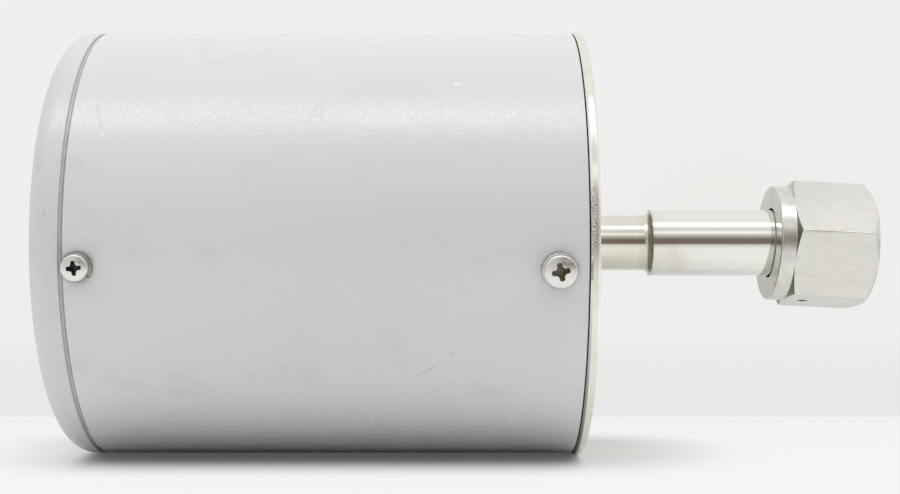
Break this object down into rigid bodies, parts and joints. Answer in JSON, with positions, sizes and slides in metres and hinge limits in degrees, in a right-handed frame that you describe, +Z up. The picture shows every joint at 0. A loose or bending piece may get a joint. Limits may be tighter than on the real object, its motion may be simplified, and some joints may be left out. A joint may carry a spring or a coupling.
{
  "type": "pressure transducer",
  "caption": "Cylindrical painted capacitance pressure transducer with a steel base plate, a stub tube, a welded face-seal gland and a loose hexagonal coupling nut.",
  "frame": {"origin": "centre of the port's sealing plane, on the housing's axis", "axes": "+X out of the port along the housing's axis, +Z up as pictured, -Y towards the side with the screws that show"},
  "size_m": [0.1927, 0.1019, 0.0992],
  "materials": {
    "housing_paint": "satin blue-grey paint with fine orange peel",
    "cap_paint": "satin grey paint, rubbed",
    "turned_plate": "turned stainless, fine pits on the rim",
    "tube_steel": "polished stainless tube",
    "gland_steel": "polished stainless, heat tint at the weld",
    "nut_steel": "satin hexagon faces, polished collar",
    "screw_steel": "bright plated steel",
    "washer_steel": "plated spring steel",
    "sensor_steel": "plain nickel alloy",
    "diaphragm_foil": "thin nickel alloy sheet",
    "white_ceramic": "unglazed alumina",
    "bare_copper": "annealed copper",
    "plain_aluminium": "mill finish",
    "heater_rubber": "silicone rubber heater",
    "insulation_foam": "open-cell foam",
    "black_plastic": "phenolic",
    "green_board": "glass-epoxy board with fused components",
    "wire_jacket": "sleeved leads",
    "tinned_shell": "tin-plated steel",
    "insert_plastic": "moulded insulator"
  },
  "bodies": {
    "housing": {"base_plate": "turned_plate", "base_screw_1": "screw_steel", "base_screw_2": "screw_steel", "base_screw_3": "screw_steel", "base_washer_1": "washer_steel", "base_washer_2": "washer_steel", "base_washer_3": "washer_steel", "board_screw_1": "screw_steel", "board_screw_2": "screw_steel", "board_screw_3": "screw_steel", "board_standoff_1": "plain_aluminium", "board_standoff_2": "plain_aluminium", "board_standoff_3": "plain_aluminium", "cap_screw_1": "screw_steel", "cap_screw_2": "screw_steel", "cap_screw_3": "screw_steel", "cap_washer_1": "washer_steel", "cap_washer_2": "washer_steel", "cap_washer_3": "washer_steel", "circuit_board": "green_board", "cover_can": "housing_paint", "diaphragm": "diaphragm_foil", "electrode_disc": "white_ceramic", "electrode_feedthrough_1": "white_ceramic", "electrode_feedthrough_2": "white_ceramic", "electrode_lead_1": "wire_jacket", "electrode_lead_2": "wire_jacket", "end_cap": "cap_paint", "getter_capsule": "sensor_steel", "heater_band": "heater_rubber", "heater_lead": "wire_jacket", "inlet_baffle": "sensor_steel", "insulation_disc": "insulation_foam", "insulation_sleeve": "insulation_foam", "jack_post_1": "screw_steel", "jack_post_2": "screw_steel", "pinch_off_tube": "bare_copper", "port_tube": "tube_steel", "reference_cover": "sensor_steel", "sensor_bracket": "sensor_steel", "sensor_inlet_cover": "sensor_steel", "signal_harness": "wire_jacket", "signal_inlet_insert": "insert_plastic", "signal_inlet_shell": "tinned_shell", "spacer_ring": "sensor_steel", "thermal_can": "plain_aluminium", "thermal_lid": "plain_aluminium", "thermostat": "black_plastic", "wave_spring": "sensor_steel", "weld_gland": "gland_steel"},
    "nut": {"coupling_nut": "nut_steel"}
  },
  "joints": [
    {"name": "nut_spin", "type": "hinge", "parent": "housing", "child": "nut", "pos_m": [-0.0076, 0, 0], "axis": [0.9986, 0, -0.0523], "continuous": true}
  ]
}
